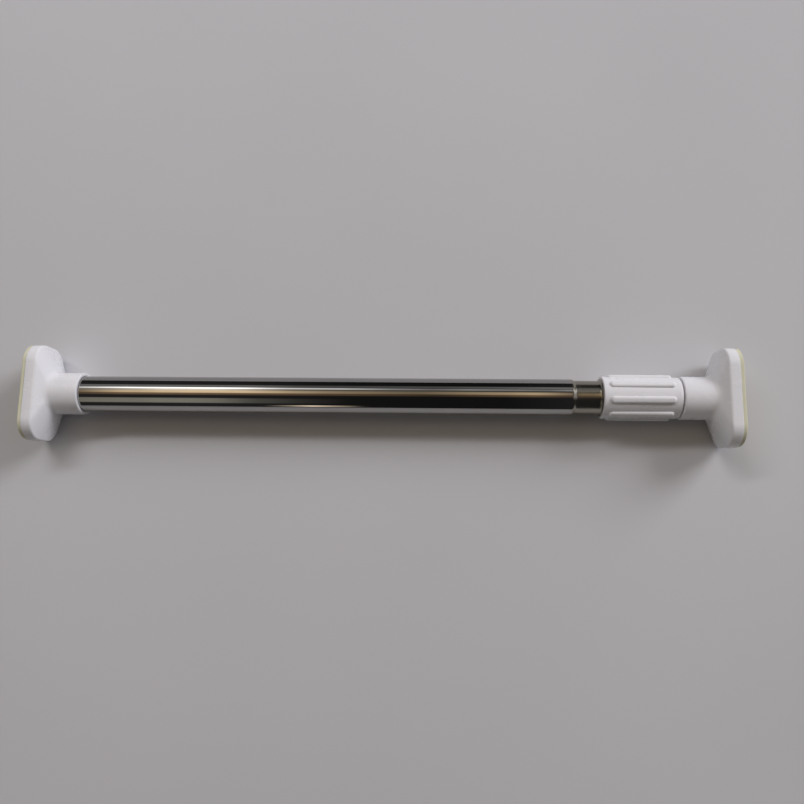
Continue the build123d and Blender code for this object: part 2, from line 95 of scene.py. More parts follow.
END_SOCKET_RADIUS = 11.1 * MM
END_SOCKET_EDGE = 0.5 * MM
END_SOCKET_RING = 8.0 * MM  # depth of one more ring of points in the socket
END_SOCKET_FLOOR = 17.2 * MM
HEX_SEAT_RADIUS = 9.5 * MM
HEX_SEAT_DEPTH = 2.0 * MM
PAD_ROUND = 0.8 * MM
PAD_RINGS = 12
PAD_CORNER = FOOT_CORNER - (FOOT_WIDE - (PAD_HIGH.z - PAD_LOW.z)) / 2

# Outer tube
TUBE_RADIUS = 12.5 * MM
TUBE_WALL = 0.6 * MM
TUBE_RINGS = 12
NECK_RADIUS = 11.5 * MM
LIP_RADIUS = TUBE_HIGH.y
LIP_LENGTH = 2.5 * MM
LIP_THICKNESS = 0.55 * MM
LIP_EDGE = 0.1 * MM
NECK_LENGTH = 14.5 * MM
NECK_TAPER = 3.5 * MM
NECK_DULL = 1.5 * MM  # how far the duller finish takes to come in
NECK_ROUGHNESS = 0.16  # added to the tube's own
NECK_COLOUR = (0.37, 0.35, 0.30)
NECK_END = TUBE_HIGH.x - LIP_LENGTH
NECK_START = NECK_END - NECK_LENGTH
TAPER_START = NECK_START - NECK_TAPER
DULL_SPAN = (TAPER_START - NECK_DULL / 2, TAPER_START + NECK_DULL / 2)

# Inner tube
INNER_RADIUS = INNER_HIGH.y
INNER_WALL = 0.65 * MM
INNER_RINGS = 10

# Grip
GRIP_RADIUS = 14.5 * MM
GRIP_DRAFT = 0.4 * MM
GRIP_START_ROUND = 0.6 * MM
GRIP_END_ROUND = 1.8 * MM
GRIP_BORE = 11.1 * MM
GRIP_BORE_DEPTH = 20.2 * MM
GRIP_MOUTH = 11.07 * MM
GRIP_MOUTH_DEPTH = 10.6 * MM
GRIP_EDGE = 0.4 * MM
GRIP_SCREW_HOLE = 7.0 * MM
RIB_COUNT = 8
RIB_WIDTH = 5.4 * MM
RIB_TOP = 15.75 * MM
RIB_ROUND = 2.0 * MM
RIB_FROM_START = 3.7 * MM
RIB_FROM_END = 4.9 * MM
RIB_FIRST_ANGLE = 90 + 14.5  # degrees from +Y towards +Z
RIB_SIDES = (6.5, 12.5)  # degrees from a rib's middle between which its side lies
RIB_MARGIN = 0.2 * MM  # how far the close rings pass a rib's round end
RIB_CLEAR = 0.1 * MM  # and how far before a rib they begin

# Jack screw
SCREW_RADIUS = 5.0 * MM
SCREW_PITCH = 3.0 * MM
THREAD_DEPTH = 1.75 * MM
THREAD_FLANK = THREAD_DEPTH * math.tan(math.radians(15))
THREAD_RUNOUT = 2.0 * MM
FORM_POINTS = 4  # points in one thread's form
SCREW_HEX = 16.0 * MM
SCREW_HEX_HEIGHT = 2.5 * MM
SCREW_SHANK_RADIUS = 4.0 * MM
STOP_HOLE_RADIUS = 2.06 * MM
STOP_HOLE_DEPTH = 12.2 * MM

# Camera
SENSOR_WIDTH = 36.0
FOCAL_LENGTH = 31.56
CAMERA_PLACE = (0.28414, -0.07825, 0.48481)
CAMERA_ROLL, CAMERA_TILT, CAMERA_PAN = -0.0145, -0.1516, -0.0442  # radians

# Studio
FLOOR_HALF = 3.0
PAST_FLOOR = (0.33, 0.325, 0.345)  # the tone the camera sees past the floor's edge


# ---------------------------------------------------------------- meshes

def welded(mesh):
    """Joins points that lie together and turns every face outwards."""
    shape = bmesh.new()
    shape.from_mesh(mesh)
    bmesh.ops.remove_doubles(shape, verts=shape.verts, dist=WELD)
    bmesh.ops.recalc_face_normals(shape, faces=shape.faces)
    shape.to_mesh(mesh)
    shape.free()


def make_piece(name, points, faces, body, sharp=SHARP):
    """A smooth mesh object that rides on a body, with its sharp edges kept."""
    mesh = bpy.data.meshes.new(name)
    mesh.from_pydata([tuple(p) for p in points], [], faces)
    welded(mesh)
    mesh.validate()
    mesh.update()
    mesh.shade_smooth()
    mesh.set_sharp_from_angle(angle=math.radians(sharp))
    piece = bpy.data.objects.new(name, mesh)
    bpy.context.scene.collection.objects.link(piece)
    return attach(piece, body)


def around(place, radius, angle):
    """A point at a place along the bar, at an angle from +Y towards +Z."""
    return (place, radius * math.cos(angle), radius * math.sin(angle))


def skin_faces(rings, count, first_pole=None, last_pole=None, loop=False):
    """Faces between rings of points in order, closed by poles or joined as a loop."""
    faces = []
    steps = rings if loop else rings - 1
    for i in range(steps):
        a, b = i * count, (i + 1) % rings * count
        for j in range(count):
            k = (j + 1) % count
            faces.append((a + j, b + j, b + k, a + k))
    if first_pole is not None:
        faces += [(first_pole, j, (j + 1) % count) for j in range(count)]
    if last_pole is not None:
        a = (rings - 1) * count
        faces += [(last_pole, a + (j + 1) % count, a + j) for j in range(count)]
    return faces


def turned(name, profile, body):
    """A closed ring of (place, radius) points turned about the bar's axis."""
    points = []
    for place, radius in profile:
        points += [around(place, radius, math.tau * j / AROUND) for j in range(AROUND)]
    return make_piece(name, points, skin_faces(len(profile), AROUND, loop=True), body)


def curve_points(start, control, end, steps=8):
    """Points of a quadratic curve, with its first and last."""
    found = []
    for i in range(steps + 1):
        t = i / steps
        found.append(tuple((1 - t) ** 2 * a + 2 * t * (1 - t) * c + t * t * b
                           for a, c, b in zip(start, control, end)))
    return found


def eased_points(start, end, steps=14):
    """Points of a smooth step from one (place, radius) to another, level at both ends.

    The place follows a cubic curve whose two controls lie half way, so the points are closest there.
    """
    found = []
    for i in range(steps + 1):
        t = i / steps
        s = 3 * t * (1 - t) ** 2 * 0.5 + 3 * t * t * (1 - t) * 0.5 + t ** 3
        place = start[0] + (end[0] - start[0]) * s
        found.append((place, start[1] + (end[1] - start[1]) * t * t * (3 - 2 * t)))
    return found


# ---------------------------------------------------------------- feet and pads

def outside_by(y, z, long, wide, corner):
    """How far a point lies outside a rounded rectangle; negative inside."""
    dy = abs(y) - (long / 2 - corner)
    dz = abs(z) - (wide / 2 - corner)
    return math.hypot(max(dy, 0.0), max(dz, 0.0)) + min(max(dy, dz), 0.0) - corner


def outline_radius(angle, long, wide, corner):
    """The distance from the axis to a rounded rectangle's outline at an angle."""
    low, high = 0.0, long
    for _ in range(BISECTIONS):
        middle = (low + high) / 2
        y, z = middle * math.cos(angle), middle * math.sin(angle)
        if outside_by(y, z, long, wide, corner) > 0:
            high = middle
        else:
            low = middle
    return low


def fairing_place(y, z):
    """How far along the bar the sloped fairing's surface is, above a point of the plate."""
    low, high = 0.0, 1.0
    for _ in range(FAIRING_BISECTIONS):
        t = (low + high) / 2
        long = FOOT_LONG + (FAIRING_TOP_LONG - FOOT_LONG) * t
        wide = FOOT_WIDE + (FAIRING_TOP_WIDE - FOOT_WIDE) * t
        corner = FOOT_CORNER + (FAIRING_TOP_CORNER - FOOT_CORNER) * t
        if outside_by(y, z, long, wide, corner) > 0:
            high = t
        else:
            low = t
    return PLATE_FRONT + FAIRING_RISE * low


def soft_place(y, z):
    """The fairing's surface with its ridges softened, as moulded."""
    sides = (-RIDGE_SOFT, 0.0, RIDGE_SOFT)
    return sum(fairing_place(y + dy, z + dz) for dy in sides for dz in sides) / len(sides) ** 2


def foot_profile(angle):
    """A foot's (place, radius) outline at an angle about its axis, from the plate's back to the lip."""
    def surface(radius):
        return soft_place(radius * math.cos(angle), radius * math.sin(angle))

    rim = outline_radius(angle, FOOT_LONG, FOOT_WIDE, FOOT_CORNER)
    back = curve_points((PLATE_BACK, rim - PLATE_BACK_ROUND), (PLATE_BACK, rim),
                        (PLATE_BACK + PLATE_BACK_ROUND, rim), 5)
    slope_end = rim - PLATE_FRONT_ROUND * ROUND_IN
    front = curve_points((PLATE_FRONT - PLATE_FRONT_ROUND * ROUND_BACK, rim), (PLATE_FRONT, rim),
                         (surface(slope_end), slope_end), 8)
    root = COLLAR_RADIUS + JUNCTION_ROUND
    slope = []
    for i in range(1, SLOPE_RINGS):
        radius = slope_end + (root - slope_end) * i / SLOPE_RINGS
        slope.append((surface(radius), radius))
    seat = surface(COLLAR_RADIUS)
    junction = curve_points((surface(root), root), (seat, COLLAR_RADIUS),
                            (seat + JUNCTION_ROUND, COLLAR_RADIUS), 8)
    lip = curve_points((FOOT_HEIGHT - COLLAR_ROUND, COLLAR_RADIUS), (FOOT_HEIGHT, COLLAR_RADIUS),
                       (FOOT_HEIGHT, COLLAR_RADIUS - COLLAR_ROUND), 6)
    foot_end, lip_start = junction[-1][0], lip[0][0]
    wall = [(foot_end + (lip_start - foot_end) * i / 4, COLLAR_RADIUS) for i in (1, 2, 3)]
    return back + front + slope + junction + wall + lip


def foot_outlines():
    """A foot's outlines all the way round: one quarter, mirrored."""
    half = FOOT_AROUND // 2
    quarter = [foot_profile(math.tau * j / FOOT_AROUND) for j in range(half // 2 + 1)]
    return [quarter[min(j % half, half - j % half)] for j in range(FOOT_AROUND)]


def foot_mesh(outlines, socket):
    """Points and faces of a foot at the fixed end, closed on the axis behind and in its socket."""
    profiles = [outline + socket for outline in outlines]
    rings = len(profiles[0])
    points = [around(*profiles[j][i], math.tau * j / FOOT_AROUND)
              for i in range(rings) for j in range(FOOT_AROUND)]
    points += [(PLATE_BACK, 0, 0), (socket[-1][0], 0, 0)]
    return points, skin_faces(rings, FOOT_AROUND, rings * FOOT_AROUND, rings * FOOT_AROUND + 1)


def pad_mesh():
    """Points and faces of a pad at the fixed end, with a rounded outer edge."""
    long = PAD_HIGH.y - PAD_LOW.y
    wide = PAD_HIGH.z - PAD_LOW.z
    rims = []
    for j in range(AROUND):
        rim = outline_radius(math.tau * j / AROUND, long, wide, PAD_CORNER)
        edge = curve_points((PLATE_BACK, rim), (PLATE_BACK * 0.5, rim), (PAD_ROUND, rim), 3)
        edge += curve_points((PAD_ROUND, rim), (0.0, rim), (0.0, rim - PAD_ROUND), 6)[1:]
        face = [(0.0, (rim - PAD_ROUND) * (1 - i / PAD_RINGS)) for i in range(1, PAD_RINGS)]
        rims.append([(PLATE_BACK, rim - PAD_ROUND)] + edge + face)
    rings = len(rims[0])
    points = [around(*rims[j][i], math.tau * j / AROUND)
              for i in range(rings) for j in range(AROUND)]
    points += [(PLATE_BACK, 0, 0), (0.0, 0, 0)]
    return points, skin_faces(rings, AROUND, rings * AROUND, rings * AROUND + 1)


def turned_round(points):
    """Points made at the fixed end, taken to the same place at the adjustable end."""
    return [(BAR_LENGTH - x, -y, z) for x, y, z in points]


def make_feet():
    """Both foot mouldings and both pads: the two ends differ only in their sockets."""
    mouth, floor = FOOT_HEIGHT, SOCKET_FLOOR
    fixed_socket = [(mouth, SOCKET_RADIUS + SOCKET_EDGE), (mouth - SOCKET_EDGE, SOCKET_RADIUS),
                    (floor, SOCKET_RADIUS), (floor, SOCKET_RADIUS / 2)]
    radius, floor = END_SOCKET_RADIUS, END_SOCKET_FLOOR
    end_socket = [(mouth, radius + END_SOCKET_EDGE), (mouth - END_SOCKET_EDGE, radius),
                  (mouth - END_SOCKET_RING, radius), (floor, radius),
                  (floor, HEX_SEAT_RADIUS), (floor - HEX_SEAT_DEPTH, HEX_SEAT_RADIUS)]
    outlines = foot_outlines()
    points, faces = foot_mesh(outlines, fixed_socket)
    fixed = make_piece("fixed_foot_moulding", points, faces, "outer_tube")
    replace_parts(fixed, "fixed_foot")
    points, faces = foot_mesh(outlines, end_socket)
    moving = make_piece("adjustable_foot_moulding", turned_round(points), faces, "adjustable_foot")
    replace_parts(moving, "adjustable_foot")
    points, faces = pad_mesh()
    fixed_pad = make_piece("fixed_foot_pad_skin", points, faces, "outer_tube")
    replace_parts(fixed_pad, "fixed_foot_pad")
    moving_pad = make_piece("adjustable_foot_pad_skin", turned_round(points), faces, "adjustable_foot")
    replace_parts(moving_pad, "adjustable_foot_pad")
    return [fixed, moving], [fixed_pad, moving_pad]


# ---------------------------------------------------------------- tubes

def make_outer_tube():
    """The outer tube's wall: straight, tapered, necked and flared to the lip, then back along its bore."""
    start, end = TUBE_LOW.x, TUBE_HIGH.x
    bore, neck_bore = TUBE_RADIUS - TUBE_WALL, NECK_RADIUS - TUBE_WALL
    lip_back = end - LIP_THICKNESS
    shift = TUBE_WALL / 2
    straight = TAPER_START - start
    outside = [(start + straight * i / TUBE_RINGS, TUBE_RADIUS) for i in range(TUBE_RINGS)]
    outside += eased_points((TAPER_START, TUBE_RADIUS), (NECK_START, NECK_RADIUS))
    outside += [(NECK_START + (NECK_END - NECK_START) * i / 4, NECK_RADIUS) for i in (1, 2, 3)]
    outside += curve_points((NECK_END, NECK_RADIUS), (lip_back, NECK_RADIUS), (lip_back, LIP_RADIUS), 10)
    outside += [(lip_back + LIP_EDGE, LIP_RADIUS), (end - LIP_EDGE, LIP_RADIUS),
                (end, LIP_RADIUS - LIP_EDGE)]
    inside = curve_points((end, LIP_RADIUS - 2 * LIP_EDGE), (end, neck_bore),
                          (NECK_END + shift, neck_bore), 10)
    inside += eased_points((NECK_START - shift, neck_bore), (TAPER_START - shift, bore))
    inside += [(start, bore)]
    tube = turned("outer_tube_skin", outside + inside, "outer_tube")
    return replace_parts(tube, "outer_tube")


def make_inner_tube():
    """The inner tube's plain wall."""
    start, end = INNER_LOW.x, INNER_HIGH.x
    outside = [(start + (end - start) * i / INNER_RINGS, INNER_RADIUS) for i in range(INNER_RINGS + 1)]
    bore = INNER_RADIUS - INNER_WALL
    tube = turned("inner_tube_skin", outside + [(end, bore), (start, bore)], "inner_tube")
    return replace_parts(tube, "inner_tube")


# ---------------------------------------------------------------- grip

def rib_share(along, across, length):
    """How much of a rib's height stands at a point: 0 off the rib, 1 on its crown."""
    half = RIB_WIDTH / 2
    past = max(half - along, along - (length - half), 0.0)
    inside = half - math.hypot(past, across)
    if inside <= 0:
        return 0.0
    drop = RIB_ROUND - math.sqrt(max(RIB_ROUND ** 2 - max(RIB_ROUND - inside, 0.0) ** 2, 0.0))
    return max(1 - drop / (RIB_TOP - GRIP_RADIUS), 0.0)


def spread(stops):
    """Values between (value, steps to it) stops, evenly spaced within each, without the last."""
    found = []
    for (low, _), (high, steps) in zip(stops, stops[1:]):
        found += [low + (high - low) * i / steps for i in range(steps)]
    return found


def grip_places():
    """Places along the grip's ribbed wall, close together where the ribs begin and end."""
    start, end = GRIP_LOW.x, GRIP_HIGH.x
    rib_start, rib_end = start + RIB_FROM_START, end - RIB_FROM_END
    dense = RIB_WIDTH / 2 + RIB_MARGIN
    return spread([(start + GRIP_START_ROUND, 0), (rib_start - RIB_CLEAR, 4), (rib_start + dense, 30),
                   (rib_end - dense, 24), (rib_end + RIB_CLEAR, 30), (end - GRIP_END_ROUND, 4)])


def grip_angles():
    """Angles round the grip, close together along the sides of each rib."""
    pitch = 360 / RIB_COUNT
    half = spread([(0.0, 0), (RIB_SIDES[0], 6), (RIB_SIDES[1], 22), (pitch / 2, 4)])
    whole = half + [pitch / 2] + [pitch - a for a in half[:0:-1]]
    return [math.radians(RIB_FIRST_ANGLE + pitch * k + a) for k in range(RIB_COUNT) for a in whole]


def make_grip():
    """The ribbed sleeve: a turned wall with its ribs raised out of it, and its two bores."""
    start, end = GRIP_LOW.x, GRIP_HIGH.x
    rib_start = start + RIB_FROM_START
    rib_length = end - RIB_FROM_END - rib_start
    pitch = math.tau / RIB_COUNT
    first = math.radians(RIB_FIRST_ANGLE)
    angles = grip_angles()
    count = len(angles)

    def wall(place):
        return GRIP_RADIUS - GRIP_DRAFT * (place - start) / (end - start)

    def ring(place, radius):
        return [around(place, radius, a) for a in angles]

    points = []
    end_wall = wall(end)
    for place, radius in curve_points((start, GRIP_RADIUS - GRIP_START_ROUND), (start, GRIP_RADIUS),
                                      (start + GRIP_START_ROUND, wall(start)), 5)[:-1]:
        points += ring(place, radius)
    for place in grip_places():
        base = wall(place)
        for a in angles:
            off = (a - first + pitch / 2) % pitch - pitch / 2
            share = rib_share(place - rib_start, off * base, rib_length)
            points.append(around(place, base + (RIB_TOP - base) * share, a))
    for place, radius in curve_points((end - GRIP_END_ROUND, end_wall), (end, end_wall),
                                      (end, end_wall - GRIP_END_ROUND), 8)[1:]:
        points += ring(place, radius)
    mouth_floor, bore_floor = end - GRIP_MOUTH_DEPTH, start + GRIP_BORE_DEPTH
    for place, radius in ((end, GRIP_MOUTH + GRIP_EDGE), (end - GRIP_EDGE, GRIP_MOUTH),
                          (mouth_floor, GRIP_MOUTH), (mouth_floor, GRIP_SCREW_HOLE),
                          (bore_floor, GRIP_SCREW_HOLE), (bore_floor, GRIP_BORE),
                          (start + GRIP_EDGE, GRIP_BORE), (start, GRIP_BORE + GRIP_EDGE)):
        points += ring(place, radius)
    faces = skin_faces(len(points) // count, count, loop=True)
    grip = make_piece("grip_sleeve_skin", points, faces, "grip")
    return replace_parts(grip, "grip_sleeve")


# ---------------------------------------------------------------- jack screw

def thread_line(turn, start, end):
    """The screw's (place, radius) outline along the bar at a share of one turn."""
    root = SCREW_RADIUS - THREAD_DEPTH
    land = (SCREW_PITCH - 2 * THREAD_FLANK) / 2
    form = [(0.0, root), (THREAD_FLANK, SCREW_RADIUS), (THREAD_FLANK + land, SCREW_RADIUS),
            (2 * THREAD_FLANK + land, root)]
    line = []
    for k in range(-1, int((end - start) / SCREW_PITCH) + 1):
        for shift, radius in form:
            place = start + SCREW_PITCH * (k + turn) + shift
            fade = min(max(min(place - start, end - place) / SCREW_PITCH, 0.0), 1.0)
            line.append((min(max(place, start), end), root + (radius - root) * fade))
    return line


def hexagon_radius(angle, across_flats):
    """The distance from the axis to a hexagon's side at an angle, with a corner at angle 0."""
    return across_flats / 2 / math.cos(angle % (math.pi / 3) - math.pi / 6)


def screw_faces(size, before, after, inner, outer):
    """Faces between a screw's outlines of size points each, whose thread lies between two indices.

    Across the seam between the last outline and the first, the thread goes on one form further along.
    """
    faces = []
    last = (SCREW_AROUND - 1) * size
    for a in range(0, last, size):
        faces += [(a + i, a + i + 1, a + size + i + 1, a + size + i) for i in range(size - 1)]
    for i in list(range(before - 1)) + list(range(after, size - 1)):
        faces.append((last + i, last + i + 1, i + 1, i))
    for i in range(before, after - 1 - FORM_POINTS):
        faces.append((last + i, last + i + 1, i + 1 + FORM_POINTS, i + FORM_POINTS))
    faces.append((last + before - 1, last + before, before + FORM_POINTS, before - 1))
    faces += [(last + i, last + i + 1, after - 1) for i in range(after - 1 - FORM_POINTS, after - 1)]
    faces.append((last + after - 1, last + after, after, after - 1))
    for a in range(0, last + size, size):
        b = (a + size) % (last + size)
        faces += [(a, b, inner), (a + size - 1, b + size - 1, outer)]
    return faces


def make_jack_screw():
    """The trapezoidal screw: one thread, the hexagon that the foot holds, the shank and the stop's hole."""
    start, end = SCREW_LOW.x, SCREW_HIGH.x
    hex_start = BAR_LENGTH - END_SOCKET_FLOOR
    hex_end = hex_start + SCREW_HEX_HEIGHT
    thread_end = hex_start - THREAD_RUNOUT
    hole = [(start + STOP_HOLE_DEPTH, STOP_HOLE_RADIUS), (start, STOP_HOLE_RADIUS)]
    points = []
    for j in range(SCREW_AROUND):
        angle = math.tau * j / SCREW_AROUND
        corner = hexagon_radius(angle, SCREW_HEX)
        thread = thread_line(j / SCREW_AROUND, start, thread_end)
        tail = [(thread_end + THREAD_RUNOUT / 2, SCREW_RADIUS), (hex_start, SCREW_RADIUS),
                (hex_start, corner), (hex_end, corner),
                (hex_end, SCREW_SHANK_RADIUS), (end, SCREW_SHANK_RADIUS)]
        outline = hole + thread + tail
        points += [around(*p, angle) for p in outline]
    inner = len(points)
    points += [(start + STOP_HOLE_DEPTH, 0, 0), (end, 0, 0)]
    faces = screw_faces(len(outline), len(hole), len(hole + thread), inner, inner + 1)
    screw = make_piece("jack_screw_thread", points, faces, "adjustable_foot", SCREW_SHARP)
    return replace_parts(screw, "jack_screw")


# ---------------------------------------------------------------- materials

class Nodes:
    """A node tree, with what materials and the world have in common."""

    def __init__(self, tree):
        self.tree = tree

    def new(self, kind, **values):
        """A new node, with its settings."""
        node = self.tree.nodes.new(kind)
        for name, value in values.items():
            setattr(node, name, value)
        return node

    def link(self, source, target):
        self.tree.links.new(source, target)

    def maths(self, kind, *values):
        """The result of a sum on numbers or sockets."""
        node = self.new("ShaderNodeMath", operation=kind)
        for socket, value in zip(node.inputs, values):
            if isinstance(value, (int, float)):
                socket.default_value = value
            else:
                self.link(value, socket)
        return node.outputs[0]

    def ranged(self, source, low, high, out_low=0.0, out_high=1.0, kind="LINEAR"):
        """Maps one span of a value onto another, held at both ends."""
        node = self.new("ShaderNodeMapRange", interpolation_type=kind)
        spans = {"From Min": low, "From Max": high, "To Min": out_low, "To Max": out_high}
        for socket, value in spans.items():
            node.inputs[socket].default_value = value
        self.link(source, node.inputs["Value"])
        return node.outputs["Result"]

    def mixed(self, share, one, other):
        """A colour that turns from one to another with a share."""
        node = self.new("ShaderNodeMix", data_type="RGBA")
        self.link(share, node.inputs["Factor"])
        for socket, colour in ((MIX_ONE, one), (MIX_OTHER, other)):
            if isinstance(colour, tuple):
                node.inputs[socket].default_value = (*colour, 1)
            else:
                self.link(colour, node.inputs[socket])
        return node.outputs[MIX_RESULT]


class Paint(Nodes):
    """A node material with the shader and the object's own coordinates at hand."""

    def __init__(self, name, **values):
        self.material = bpy.data.materials.new(name)
        self.material.use_nodes = True
        super().__init__(self.material.node_tree)
        self.shader = self.tree.nodes["Principled BSDF"]
        self.place = self.new("ShaderNodeTexCoord").outputs["Object"]
        for socket, value in values.items():
            self.shader.inputs[socket.replace("_", " ")].default_value = value

    def stretched(self, scale):
        """The coordinates with each axis scaled."""
        node = self.new("ShaderNodeMapping")
        node.inputs["Scale"].default_value = scale
        self.link(self.place, node.inputs["Vector"])
        return node.outputs["Vector"]

    def noise(self, scale, detail=3.0, rough=0.55, stretch=(1, 1, 1), distortion=0.0):
        """Noise over the object, with its features closer for a higher scale."""
        node = self.new("ShaderNodeTexNoise")
        values = {"Scale": scale, "Detail": detail, "Roughness": rough, "Distortion": distortion}
        for socket, value in values.items():
            node.inputs[socket].default_value = value
        self.link(self.stretched(stretch), node.inputs["Vector"])
        return node.outputs["Fac"]

    def toned(self, noise, one, other):
        """A colour that wanders between two with a noise."""
        return self.mixed(self.ranged(noise, 0.3, 0.7), one, other)

    def colour(self, source):
        self.link(source, self.shader.inputs["Base Color"])

    def roughness(self, source):
        self.link(source, self.shader.inputs["Roughness"])

    def bump(self, height, distance, strength=1.0):
        """Raises the surface's shading by a height, by up to a distance in metres."""
        node = self.new("ShaderNodeBump")
        node.inputs["Distance"].default_value = distance
        node.inputs["Strength"].default_value = strength
        self.link(height, node.inputs["Height"])
        self.link(node.outputs["Normal"], self.shader.inputs["Normal"])


def white_abs():
    """Glossy white moulding with a faint flow of tone, a fine spark-eroded skin and handling marks."""
    paint = Paint("white_abs", IOR=1.5, Subsurface_Weight=0.06, Subsurface_Scale=0.002,
                  Subsurface_Radius=(1.0, 0.9, 0.8))
    body = paint.toned(paint.noise(28, 2), (0.82, 0.82, 0.845), (0.85, 0.85, 0.87))
    grime = paint.ranged(paint.noise(140, 6, 0.7), 0.58, 0.82, 0, 0.12)
    paint.colour(paint.mixed(grime, body, (0.66, 0.655, 0.64)))
    smear = paint.noise(60, 4, 0.6, stretch=(0.5, 1, 1))
    paint.roughness(paint.ranged(smear, 0.3, 0.75, 0.22, 0.36))
    skin = paint.noise(2600, 2, 0.5)
    wave = paint.noise(160, 2, 0.5)
    paint.bump(paint.maths("ADD", skin, paint.maths("MULTIPLY", wave, 2.0)), 0.012 * MM)
    return paint.material


def pad_rubber():
    """Cream soft rubber with a fine stipple and slightly darker rubbed patches."""
    paint = Paint("pad_rubber", IOR=1.45, Subsurface_Weight=0.1, Subsurface_Scale=0.0015)
    body = paint.toned(paint.noise(90, 4, 0.6), (0.66, 0.65, 0.47), (0.74, 0.73, 0.56))
    dust = paint.ranged(paint.noise(700, 4, 0.7), 0.6, 0.8, 0, 0.3)
    paint.colour(paint.mixed(dust, body, (0.55, 0.53, 0.40)))
    paint.roughness(paint.ranged(paint.noise(220, 3), 0.3, 0.7, 0.55, 0.75))
    paint.bump(paint.noise(1900, 3, 0.6), 0.06 * MM, 0.6)
    return paint.material


def steel(name, colour, dark, low, high, dull_span=None):
    """Polished steel with fine draw lines along the bar and soft smudges.

    It is duller and browner past the span of places where the neck begins, if there is one.
    """
    paint = Paint(name, Metallic=1.0)
    body = paint.toned(paint.noise(40, 3, 0.6), colour, dark)
    smudge = paint.ranged(paint.noise(34, 5, 0.65, distortion=0.8), 0.45, 0.75, low, high)
    draw = paint.noise(900, 3, 0.6, stretch=(0.012, 1, 1))
    wear = paint.maths("ADD", smudge, paint.ranged(draw, 0.3, 0.7, 0, 0.02))
    if dull_span:
        split = paint.new("ShaderNodeSeparateXYZ")
        paint.link(paint.place, split.inputs[0])
        necked = paint.ranged(split.outputs["X"], *dull_span)
        wear = paint.maths("ADD", wear, paint.ranged(necked, 0, 1, 0, NECK_ROUGHNESS))
        body = paint.mixed(necked, body, NECK_COLOUR)
    paint.colour(body)
    paint.roughness(wear)
    paint.bump(draw, 0.0015 * MM, 0.5)
    return paint.material


def turned_metal(name, colour, dark, low, high):
    """A machined or plated small part with rings of turning marks and a mottled plating."""
    paint = Paint(name, Metallic=1.0)
    paint.colour(paint.toned(paint.noise(320, 5, 0.65), colour, dark))
    paint.roughness(paint.ranged(paint.noise(500, 4), 0.3, 0.7, low, high))
    paint.bump(paint.noise(2400, 2, 0.5, stretch=(1, 0.08, 0.08)), 0.006 * MM, 0.6)
    return paint.material


def nylon(name, colour, dark):
    """A matt moulded nylon with a faint mottle."""
    paint = Paint(name, IOR=1.5, Subsurface_Weight=0.08, Subsurface_Scale=0.0015)
    paint.colour(paint.toned(paint.noise(130, 4, 0.6), colour, dark))
    paint.roughness(paint.ranged(paint.noise(400, 3), 0.3, 0.7, 0.42, 0.58))
    paint.bump(paint.noise(1500, 3, 0.55), 0.02 * MM, 0.5)
    return paint.material


def floor_paper():
    """A plain pale studio surface with a barely visible tooth."""
    paint = Paint("floor_paper", IOR=1.4)
    paint.colour(paint.toned(paint.noise(3, 2), (0.60, 0.60, 0.615), (0.63, 0.63, 0.645)))
    paint.roughness(paint.ranged(paint.noise(60, 3), 0.3, 0.7, 0.55, 0.7))
    paint.bump(paint.noise(900, 3), 0.03 * MM, 0.4)
    return paint.material


def dress(materials, new_pieces):
    """Gives every CAD node the material of its record slot, and the new pieces theirs."""
    slot_of = {s["node"]: s["material_slot"] for s in frame["record"]["subparts"]}
    for node, piece in frame["nodes"].items():
        piece.data.materials.clear()
        piece.data.materials.append(materials[slot_of[node]])
    for piece, name in new_pieces:
        piece.data.materials.clear()
        piece.data.materials.append(materials[name])


# ---------------------------------------------------------------- stage

def make_floor(material):
    """A wide plain floor that the feet's long edges rest on."""
    half = FLOOR_HALF
    mesh = bpy.data.meshes.new("floor")
    corners = [(-half, -half, FLOOR), (half, -half, FLOOR), (half, half, FLOOR), (-half, half, FLOOR)]
    mesh.from_pydata(corners, [], [(0, 1, 2, 3)])
    mesh.materials.append(material)
    floor = bpy.data.objects.new("floor", mesh)
    bpy.context.scene.collection.objects.link(floor)


def make_camera():
    """The camera, high over the bar and a little to its near side, at the photograph's angle."""
    data = bpy.data.cameras.new("camera")
    data.sensor_width = SENSOR_WIDTH
    data.lens = FOCAL_LENGTH
    camera = bpy.data.objects.new("camera", data)
    bpy.context.scene.collection.objects.link(camera)
    roll = Matrix.Rotation(CAMERA_ROLL, 3, "Z")
    tilt = Matrix.Rotation(CAMERA_TILT, 3, "X")
    pan = Matrix.Rotation(CAMERA_PAN, 3, "Y")
    turn = (roll @ tilt @ pan).transposed()
    camera.matrix_world = Matrix.Translation(CAMERA_PLACE) @ turn.to_4x4()
    bpy.context.scene.camera = camera


def area_light(name, place, aim, size, power):
    """A soft box at a place, aimed at a point. Gloss reflects the room's bands in its stead."""
    data = bpy.data.lights.new(name, "AREA")
    data.shape = "RECTANGLE"
    data.size, data.size_y = size
    data.energy = power
    data.color = LIGHT_COLOUR
    light = bpy.data.objects.new(name, data)
    bpy.context.scene.collection.objects.link(light)
    turn = (Vector(aim) - Vector(place)).to_track_quat("-Z", "Y")
    light.matrix_world = Matrix.Translation(place) @ turn.to_matrix().to_4x4()
    light.visible_glossy = False


